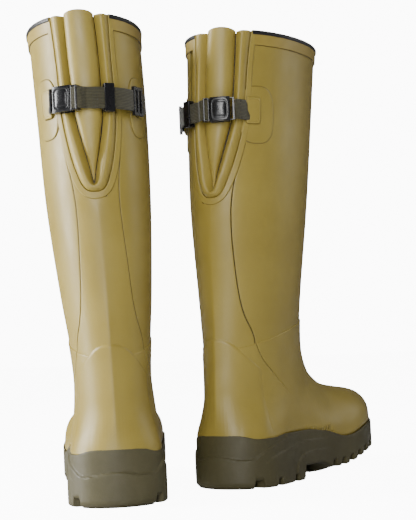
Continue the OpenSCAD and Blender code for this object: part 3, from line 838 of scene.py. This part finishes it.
for side in SIDES:
    points, faces = u_strip(side, FOLD_LINE, RIDGE_LINE, steps(22, 0.08), ridge_rise, RIDGE_FOOT)
    welt = make(side, "welt", points, faces, gusset_rubber)
    fix(welt, side, "gusset_ridges")

# --- Gusset border ----------------------------------------------------------
# A flat tape of rubber that covers the joint of the gusset and the leg on both
# sides, curls round its foot, and stands proud with a crisp edge.

BORDER_LINE = np.array([
    (0, 267.5), (13, 273.5), (21.5, 292), (26.5, 318), (29, 345), (28.4, 385), (29.5, 430),
])
BORDER_H = 1.5
BORDER_FOOT = -2.6


def border_rise(across, z):
    """The tape's section, the same at every height z."""
    edge = np.minimum(across, 1 - across) * np.ones_like(z)
    return BORDER_H - BORDER_H * (1 - np.clip(edge / 0.16, 0, 1)) ** 2


for side in SIDES:
    across = steps(12, 0.16)
    points, faces = u_strip(side, RIDGE_LINE, BORDER_LINE, across, border_rise, BORDER_FOOT)
    # Both edges of the tape get painted shade, a dark line, through the seam attribute.
    dark = near_edge(np.minimum(across, 1 - across) * np.ones((PLACES, 1)), 0.15)
    edging = make(side, "edging", points, faces, gusset_rubber, seam=dark)
    fix(edging, side, "gusset_border")

# --- Top band ---------------------------------------------------------------
# A reinforcing band of rubber round the rim outside, from one side of the gusset
# to the other, with a rounded lower edge.

BAND_LOW_Z, BAND_HIGH_Z = 411.5, 427.2
BAND_OUT = 1.4
BAND_START_DEG = 29.5
BAND_OLIVE = (0.375, 0.275, 0.055)
BAND_SHADE = (0.290, 0.205, 0.035)

band_rubber = rubber("band_rubber", BAND_OLIVE, BAND_SHADE, 0.44, 0.06, 0.3)

for side in SIDES:
    z = mix(BAND_HIGH_Z, BAND_LOW_Z, steps(10, 0.12)[:, None])
    deg = sway(side, z) + BAND_START_DEG + (360 - 2 * BAND_START_DEG) * steps(200, 0.005)[None]
    v = v_at(z)
    distance = edge_distance(skin(deg, v), "blr")
    points, faces = slab(skin(deg, v, BAND_OUT - rounded(distance, 0.8)), skin(deg, v, -0.5))
    band = make(side, "rim_band", points, faces, band_rubber, seam=near_edge(distance, 1.0))
    fix(band, side, "top_band")

# --- Rim binding ------------------------------------------------------------
# Black rubber tape folded over the edges of the rubber and the neoprene, from
# one side of the gusset to the other.

BINDING = np.array([   # distance outwards and height above the rim, round the section
    (0.3, -2.9), (1.6, -2.8), (2.1, -2.2), (2.2, 0.0), (1.6, 1.0), (0.4, 1.5), (-3.5, 1.6),
    (-7.0, 1.4), (-8.3, 0.8), (-8.6, -0.4), (-8.6, -5.5), (-8.2, -6.0), (-7.7, -5.6),
    (-7.6, -0.9), (-3.0, -0.6), (0.2, -0.6),
])
BINDING_START_DEG = BAND_START_DEG - 0.6
BINDING_BLACK, BINDING_WORN = (0.006, 0.006, 0.006), (0.012, 0.012, 0.011)

binding_rubber = rubber("binding_rubber", BINDING_BLACK, BINDING_WORN, 0.5, 0.05, 0.3)


def capped_faces(rings, count):
    """The faces of a rod: quads between its rings of count points, and its two ends."""
    first, last = range(count), range(rings * count - 1, (rings - 1) * count - 1, -1)
    return [*ring_faces(rings, count).tolist(), list(first), list(last)]


for side in SIDES:
    turn = 360 - 2 * BINDING_START_DEG
    deg = sway(side, RIM_Z) + BINDING_START_DEG + turn * np.linspace(0, 1, 200)
    rings = skin(deg[:, None], 0.0, BINDING[None, :, 0])
    rings[..., 2] += BINDING[:, 1]
    faces = capped_faces(len(deg), len(BINDING))
    tape = make(side, "rim_tape", rings, faces, binding_rubber)
    fix(tape, side, "rim_binding")

# --- Strap patches and tabs -------------------------------------------------
# Rounded rubber patches vulcanised to the leg under both ends of the strap, and
# on each a square tab that holds the end of the webbing.

STRAP_Z = 355.0
SIDE_ARC = 1.26   # mm of the leg's side for each degree
PATCH_Z, PATCH_HALF_H, PATCH_SQUARE = STRAP_Z - 5, 26, 3.0
TAB_Z, TAB_HALF_H, TAB_SQUARE = STRAP_Z - 0.5, 12.3, 7.0
PATCH = [(0.0, 1.2), (0.4, 1.2), (0.75, 1.2), (0.93, 1.2), (0.95, 1.15), (0.98, 0.9), (1.0, 0.4)]
TAB = [
    (0.0, 3.8), (0.4, 3.8), (0.7, 3.75), (0.78, 3.7), (0.80, 3.45), (0.83, 3.45), (0.85, 3.65),
    (0.92, 3.6), (0.95, 3.4), (0.98, 2.9), (1.0, 1.6),
]
ENDS = (   # the patch's angle and half width, and the tab's
    ("outer", 50, 20.0, 46, 8.4),
    ("inner", -52, 15.5, -52, 7.0),
)


def plate(side, name, middle, half, square, profile, under):
    """A round-cornered plate lying on the leg: profile is a list of radius and height."""
    a = np.linspace(0, 2 * np.pi, 96, endpoint=False)
    x, y = squared(np.cos(a), 2 / square), squared(np.sin(a), 2 / square)
    rows = []
    for radius, out in [*profile, (1.0, under), (0.0, under)]:
        deg = middle[0] + x * half[0] * radius / SIDE_ARC
        rows.append(skin(deg, v_at(middle[1] + y * half[1] * radius), out))
    # The plate's rim gets painted shade, a dark line, through the seam attribute.
    near = [max(0.0, (radius - 0.95) / 0.05) for radius, _ in profile] + [0.0, 0.0]
    faces, near = ring_faces(len(rows), len(a)), np.repeat(near, len(a))
    return make(side, name, np.vstack(rows), faces, olive_rubber, seam=near, weld=True)


for side in SIDES:
    for end, deg, half_w, tab_deg, tab_w in ENDS:
        middle, half = (deg, PATCH_Z), (half_w, PATCH_HALF_H)
        patch = plate(side, f"{end}_backing", middle, half, PATCH_SQUARE, PATCH, 0.0)
        fix(patch, side, f"{end}_patch")
        middle, half = (tab_deg, TAB_Z), (tab_w, TAB_HALF_H)
        tab = plate(side, f"{end}_holder", middle, half, TAB_SQUARE, TAB, 0.8)
        fix(tab, side, f"{end}_tab")

# --- Midsole and shank ------------------------------------------------------
# A foam filler in the hollow of the outsole, and the stiffening bar let into it
# under the arch. Both are closed in by the outsole and the foot.

FOAM_GREY = (0.13, 0.13, 0.135)
FIBRE_DARK, FIBRE_PALE = (0.02, 0.02, 0.02), (0.05, 0.05, 0.045)
WELD_AT = 0.00001
BEVEL_FROM_DEG = 35


def foam(name, colour, roughness, cells):
    """Closed-cell foam or knit-faced neoprene: fine pits over a soft colour."""
    finish = rubber(name, colour, tuple(c * 0.75 for c in colour), roughness, 0.35, 0.6)
    tree = finish.node_tree
    place = tree.nodes["Texture Coordinate"].outputs["Object"]
    cell = add_node(tree, "ShaderNodeTexVoronoi", {"Scale": cells, "Vector": place})
    normal = tree.nodes["Principled BSDF"].inputs["Normal"]
    pits = bumped(tree, cell.outputs["Distance"], 0.5, 0.0003, normal.links[0].from_socket)
    tree.links.new(pits, normal)
    return finish


def give(name, finish, bevel=0.0):
    """Gives a carried-over CAD solid its finish, and rounds its edges."""
    solid = bpy.data.objects[name]
    solid.data.materials.clear()
    solid.data.materials.append(finish)
    if bevel:
        weld = solid.modifiers.new("weld", "WELD")
        weld.merge_threshold = WELD_AT
        edge = solid.modifiers.new("edge", "BEVEL")
        edge.width = bevel
        edge.segments = 3
        edge.limit_method = "ANGLE"
        edge.angle_limit = math.radians(BEVEL_FROM_DEG)
        edge.harden_normals = True


eva_foam = foam("eva_foam", FOAM_GREY, 0.8, 900)
glass_fibre = rubber("glass_fibre", FIBRE_DARK, FIBRE_PALE, 0.35, 0.05, 0.4)
for side in SIDES:
    give(f"{side}_midsole", eva_foam)
    give(f"{side}_shank", glass_fibre)

# --- Lining -----------------------------------------------------------------
# A sock of neoprene foam with a knit face, 4.5 mm thick, bonded inside the rubber
# from the toe to the rim. It is what keeps the foot warm.

LINING_OUT, LINING_IN = -3.2, -7.7
LINING_TOP_V, LINING_TOE_V, LINING_TOE_IN_V = 0.003, 0.965, 0.93
LINING_STEPS = 120
KNIT_BLACK = (0.055, 0.053, 0.048)

neoprene = foam("neoprene", KNIT_BLACK, 0.85, 700)

for side in SIDES:
    deg = np.linspace(0, 360, LINING_STEPS, endpoint=False)
    down = np.linspace(0, 1, 90)[:, None]
    outer = skin(deg, mix(LINING_TOP_V, LINING_TOE_V, down), LINING_OUT)
    inner = skin(deg, mix(LINING_TOP_V, LINING_TOE_IN_V, down), LINING_IN)
    tips = [face[-1:].mean(1, keepdims=True).repeat(LINING_STEPS, 1) for face in (outer, inner)]
    wall = np.concatenate([tips[0], outer[::-1], inner, tips[1]])
    faces = ring_faces(len(wall), LINING_STEPS)
    sock = make(side, "neoprene_sock", wall, faces, neoprene, weld=True)
    fix(sock, side, "lining")

# --- Footbed ----------------------------------------------------------------
# A loose moulded insole with a cupped edge, which lies on the lining. Rows of
# small holes let it breathe.

FOOTBED_INSET = 22.5
FOOTBED_LOW, FOOTBED_HIGH = 10.3, 15.3
FOOTBED_SPINE = np.array([(0, -1), (80, -1), (150, 3), (200, 1), (262, -8)])
FOOTBED_RINGS = (   # share of the outline's width, and height
    (0.0, FOOTBED_LOW), (0.5, FOOTBED_LOW), (0.97, FOOTBED_LOW), (1.0, FOOTBED_LOW + 0.5),
    (1.0, FOOTBED_HIGH - 0.6), (0.97, FOOTBED_HIGH), (0.93, FOOTBED_HIGH - 0.2),
    (0.82, FOOTBED_HIGH - 1.3), (0.5, FOOTBED_HIGH - 1.6), (0.0, FOOTBED_HIGH - 1.6),
)
HOLE_PITCH, HOLE_R = 0.011, 0.0016
HOLE_ROWS = (-10, 0, 10)
FOOTBED_BLACK = (0.016, 0.016, 0.017)

footbed_foam = foam("footbed_foam", FOOTBED_BLACK, 0.75, 1100)


def repeat_tree():
    """Geometry Nodes that set a round-ended item on each point of a line, along it."""
    tree = bpy.data.node_groups.new("repeat_along_line", "GeometryNodeTree")
    tree.interface.new_socket(name="Geometry", in_out="OUTPUT", socket_type="NodeSocketGeometry")
    for name, kind in (
        ("Geometry", "Geometry"), ("Pitch", "Float"), ("Radius", "Float"), ("Length", "Float"),
        ("Finish", "Material"),
    ):
        tree.interface.new_socket(name=name, in_out="INPUT", socket_type="NodeSocket" + kind)
    given = add_node(tree, "NodeGroupInput").outputs
    line = add_node(tree, "GeometryNodeMeshToCurve", {"Mesh": given["Geometry"]}).outputs["Curve"]
    inputs = {"Curve": line, "Length": given["Pitch"]}
    points = add_node(tree, "GeometryNodeCurveToPoints", inputs, mode="LENGTH").outputs
    inputs = {"Segments": 8, "Rings": 6, "Radius": 1.0}
    ball = add_node(tree, "GeometryNodeMeshUVSphere", inputs).outputs["Mesh"]
    inputs = {"X": given["Radius"], "Y": given["Radius"], "Z": given["Length"]}
    size = add_node(tree, "ShaderNodeCombineXYZ", inputs).outputs["Vector"]
    inputs = {
        "Points": points["Points"], "Instance": ball, "Rotation": points["Rotation"], "Scale": size,
    }
    items = add_node(tree, "GeometryNodeInstanceOnPoints", inputs).outputs["Instances"]
    real = add_node(tree, "GeometryNodeRealizeInstances", {"Geometry": items}).outputs["Geometry"]
    inputs = {"Geometry": real, "Material": given["Finish"]}
    made = add_node(tree, "GeometryNodeSetMaterial", inputs).outputs["Geometry"]
    add_node(tree, "NodeGroupOutput", {"Geometry": made})
    return tree


repeat = repeat_tree()


def repeat_along(side, name, lines, pitch, radius, length, finish):
    """The items of the repeat tree along lines of a boot's points, as one plain mesh."""
    name = f"{side}_{name}"
    path = bpy.data.meshes.new(name + "_path")
    starts = np.cumsum([0] + [len(line) for line in lines])
    edges = [(a + k, a + k + 1) for a, line in zip(starts, lines) for k in range(len(line) - 1)]
    path.from_pydata(stand(side, np.vstack(lines)).tolist(), edges, [])
    holder = bpy.data.objects.new(name + "_path", path)
    bpy.context.scene.collection.objects.link(holder)
    modifier = holder.modifiers.new("repeat", "NODES")
    modifier.node_group = repeat
    values = {"Pitch": pitch, "Radius": radius, "Length": length, "Finish": finish}
    for socket in repeat.interface.items_tree:
        if socket.name in values:
            modifier[socket.identifier] = values[socket.name]
    holder.update_tag()
    graph = bpy.context.evaluated_depsgraph_get()
    made = bpy.data.meshes.new_from_object(holder.evaluated_get(graph))
    bpy.data.objects.remove(holder)
    made.shade_smooth()
    piece = bpy.data.objects.new(name, made)
    bpy.context.scene.collection.objects.link(piece)
    return piece


for side in SIDES:
    line = inset_line(closed_line(SOLE, 6), FOOTBED_INSET)
    line = line[(line[:, 1] > 22) & (line[:, 1] < 252)]
    spine_y = np.clip(line[:, 1], 45, 225)
    spine = np.stack([np.interp(spine_y, *FOOTBED_SPINE.T), spine_y], 1)
    rings = []
    for share, height in FOOTBED_RINGS:
        at = mix(spine, line, share)
        rings.append(np.column_stack([at, sole_top(at[:, 1]) + height]))
    faces = ring_faces(len(rings), len(line))
    bed = make(side, "insole", np.vstack(rings), faces, footbed_foam, weld=True)
    y = np.linspace(150, 215, 20)
    z = sole_top(y) + FOOTBED_HIGH - 1.5
    rows = [np.column_stack([np.full(20, x), y, z]) for x in HOLE_ROWS]
    holes = repeat_along(side, "insole_holes", rows, HOLE_PITCH, HOLE_R, HOLE_R, eva_foam)
    fix(bed, side, "footbed")
    fix(holes, side)

# --- Webbing ----------------------------------------------------------------
# Dark olive nylon webbing, 19 mm wide, in three lengths: from the outer tab to
# the buckle, from its tongue through the keeper to the adjuster, and from the
# adjuster to the inner tab. The middle one is folded back on itself and sewn.

WEBBING_W = 19.0
WEBBING_T = 1.5
KEEPER_OUT = 8.8
BUCKLE_DEG = {"left": 22.4, "right": 18.0}
KEEPER_DEG = {"left": -14.0, "right": -14.0}
ADJUSTER_DEG = {"left": -44.0, "right": -42.0}
BUCKLE_OUT = {"left": 9.5, "right": 10.5}
STITCH_PITCH, STITCH_R, STITCH_LEN = 0.0026, 0.00028, 0.0010
STITCH_EDGE = 7.8   # from the webbing's middle line
WEBBING_GREEN, WEBBING_PALE = (0.020, 0.018, 0.006), (0.085, 0.075, 0.028)
THREAD_GREEN, THREAD_PALE = (0.03, 0.026, 0.01), (0.09, 0.08, 0.03)


def nylon(name, colour, pale):
    """Woven nylon: lengthwise ribs, the picks across them, frayed colour, and painted shade: paler
    on the weave's crests, darker in its hollows.
    """
    finish = plain_finish(name, colour, 0.62)
    tree = finish.node_tree
    shader = tree.nodes["Principled BSDF"]
    shader.inputs["Sheen Weight"].default_value = 0.25
    place = add_node(tree, "ShaderNodeUVMap", uv_map="weave").outputs["UV"]

    def wave(direction, scale, distortion):
        inputs = {"Vector": place, "Scale": scale, "Distortion": distortion, "Detail": 1.0}
        return add_node(tree, "ShaderNodeTexWave", inputs, bands_direction=direction).outputs["Fac"]

    ribs, picks = wave("Y", 0.24, 0.3), wave("X", 0.36, 0.6)
    inputs = {0: picks, 1: 0.35, 2: ribs}
    weave = add_node(tree, "ShaderNodeMath", inputs, operation="MULTIPLY_ADD").outputs["Value"]
    inputs = {"Vector": place, "Scale": 1.4, "Detail": 4.0}
    fray = add_node(tree, "ShaderNodeTexNoise", inputs).outputs["Fac"]
    # Painted shade: the colour follows the weave's height, as the bump does, dark in the hollows,
    # with random fray tone on top.
    fray_and_hollow_shade = add_node(tree, "ShaderNodeMath", {0: weave, 1: fray}, operation="MULTIPLY")
    tint = add_node(tree, "ShaderNodeValToRGB", {"Fac": fray_and_hollow_shade.outputs["Value"]})
    for stop, at, shade in zip(tint.color_ramp.elements, (0.12, 0.75), (colour, pale)):
        stop.position = at
        stop.color = (*shade, 1)
    tree.links.new(tint.outputs["Color"], shader.inputs["Base Color"])
    tree.links.new(bumped(tree, weave, 0.7, 0.0004), shader.inputs["Normal"])
    return finish


webbing_nylon = nylon("webbing", WEBBING_GREEN, WEBBING_PALE)
thread = nylon("thread", THREAD_GREEN, THREAD_PALE)


def strap_at(deg, out):
    """Level points at the strap's height, and the directions along and outwards there."""
    v = v_at(STRAP_Z)
    along = (skin(deg + 0.5, v) - skin(deg - 0.5, v))[..., :2]
    along = along / np.linalg.norm(along, axis=-1, keepdims=True)
    return skin(deg, v, out)[..., :2], along, np.stack([along[..., 1], -along[..., 0]], -1)


def webbing(deg, out):
    """A length of webbing on edge: its points, its faces and its weave coordinates."""
    level, along, outward = strap_at(deg, 0 * deg)
    place = level + outward * (out + WEBBING_T / 2)[:, None]
    run = np.concatenate([[0], np.linalg.norm(np.diff(place, axis=0), axis=1).cumsum()])
    a = np.linspace(0, 2 * np.pi, 40, endpoint=False)
    tall = squared(np.sin(a), 0.35) * WEBBING_W / 2
    thick = squared(np.cos(a), 0.5) * WEBBING_T / 2
    thick = thick * (1 - 0.15 * np.cos(4 * np.pi * tall / WEBBING_W))
    rings = [
        np.column_stack([at + away * thick[:, None], STRAP_Z + tall])
        for at, away in zip(place, outward)
    ]
    weave = np.stack([np.repeat(run, len(a)), np.tile(tall, len(deg))], 1)
    return np.vstack(rings), capped_faces(len(deg), len(a)), weave


def stitch_box(low_deg, high_deg, rise):
    """Three rows of stitches across the webbing and one along each edge."""
    span, edges = np.linspace(low_deg, high_deg, 12), np.linspace(-STITCH_EDGE, STITCH_EDGE, 12)
    rows = [(np.full(12, deg), edges) for deg in np.linspace(low_deg, high_deg, 3)]
    rows += [(span, np.full(12, edge)) for edge in (-STITCH_EDGE, STITCH_EDGE)]
    lines = []
    for deg, up in rows:
        level, _, outward = strap_at(deg, 0)
        out = np.interp(deg, *np.array(rise).T) + WEBBING_T + 0.05
        lines.append(np.column_stack([level + outward * out[:, None], STRAP_Z + up]))
    return lines


def cross(piece, side, ends):
    """Bakes a piece's placing into its mesh; the two points found from its ends are not used."""
    start, end = (stand(side, [*strap_at(deg, 0)[0], STRAP_Z])[0] for deg in ends)
    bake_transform(piece)


for side in SIDES:
    buckle, keeper, adjuster = BUCKLE_DEG[side], KEEPER_DEG[side], ADJUSTER_DEG[side]
    high = BUCKLE_OUT[side] - 1
    near = KEEPER_OUT - WEBBING_T / 2
    rises_at = {   # angle, and how far the webbing stands off the leg there
        "buckle": [(buckle + 11.5, high), (39.4, 2.6), (44.0, 1.4)],
        "anchor": [(adjuster - 13, 4.2), (adjuster - 6, 4.6), (adjuster - 3, 5.6)],
        "main": [
            (adjuster, 5.9), (keeper - 6, near), (keeper + 6, near), (buckle - 19, high),
            (buckle - 15.6, high + 4.7), (buckle - 9, high + 4.7),
        ],
    }
    lengths = (   # kind, start, end, steps, and where it is sewn
        ("buckle", buckle + 10.5, 43.5, 26, (buckle + 14, buckle + 17)),
        ("anchor", adjuster - 13, adjuster - 3.4, 26, None),
        ("main", adjuster + 3.4, buckle - 9.4, 50, (buckle - 27, buckle - 24)),
    )
    for kind, start, end, count, sewn_at in lengths:
        rise = rises_at[kind]
        deg = np.linspace(start, end, count)
        points, faces, weave = webbing(deg, np.interp(deg, *np.array(rise).T))
        strap = make(side, f"{kind}_webbing", points, faces, webbing_nylon, uv=weave)
        if kind == "main":
            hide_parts(f"{side}_main_strap")
            cross(strap, side, (start, end))
        else:
            fix(strap, side, f"{kind}_strap")
        if sewn_at:
            size = (STITCH_PITCH, STITCH_R, STITCH_LEN)
            lines = stitch_box(*sewn_at, rise)
            sewn = repeat_along(side, f"{kind}_stitches", lines, *size, thread)
            if kind == "main":
                cross(sewn, side, (start, end))
            else:
                fix(sewn, side)

# --- Buckle, keeper and adjuster --------------------------------------------
# Black moulded nylon: a side-release buckle whose two prongs bend when squeezed,
# a sliding keeper on the webbing, and a ladder adjuster. Moulded edges are round.

PLASTIC_BLACK, PLASTIC_WORN = (0.006, 0.006, 0.007), (0.014, 0.014, 0.015)
FACE_HALF_W, FACE_HALF_H = 9.3, 11.4
FACE_BACK = 2.2
FACE_BOW = 0.9
PLASTIC_EDGE_R = 0.0006

plastic = rubber("buckle_plastic", PLASTIC_BLACK, PLASTIC_WORN, 0.26, 0.04, 0.25, 0.6)
MOULDED = ("buckle_body", "buckle_tongue", "prong_upper", "prong_lower", "keeper", "adjuster")
for side in SIDES:
    for node in MOULDED:
        give(f"{side}_{node}", plastic, PLASTIC_EDGE_R)

# The buckle's face: a raised pillow in a shallow groove inside a rounded rim.
FACE = [
    (0.0, 5.1), (0.2, 5.08), (0.35, 5.0), (0.48, 4.85), (0.56, 4.7), (0.60, 4.55), (0.625, 4.0),
    (0.66, 3.85), (0.72, 3.9), (0.76, 4.45), (0.80, 4.6), (0.90, 4.6), (0.95, 4.4), (0.985, 3.9),
    (1.0, 3.2), (1.0, FACE_BACK), (0.0, FACE_BACK),
]
for side in SIDES:
    level, along, outward = strap_at(np.array(BUCKLE_DEG[side]), BUCKLE_OUT[side])
    a = np.linspace(0, 2 * np.pi, 96, endpoint=False)
    x, y = squared(np.cos(a), 0.4) * FACE_HALF_W, squared(np.sin(a), 0.4) * FACE_HALF_H
    rows = []
    for radius, out in FACE:
        bow = FACE_BOW * (x * radius / FACE_HALF_W) ** 2
        flat = level + along * (x * radius)[:, None] + outward * (out - bow)[:, None]
        rows.append(np.column_stack([flat, STRAP_Z + y * radius]))
    faces = ring_faces(len(rows), len(a))
    face = make(side, "buckle_face", np.vstack(rows), faces, plastic, weld=True)
    fix(face, side)
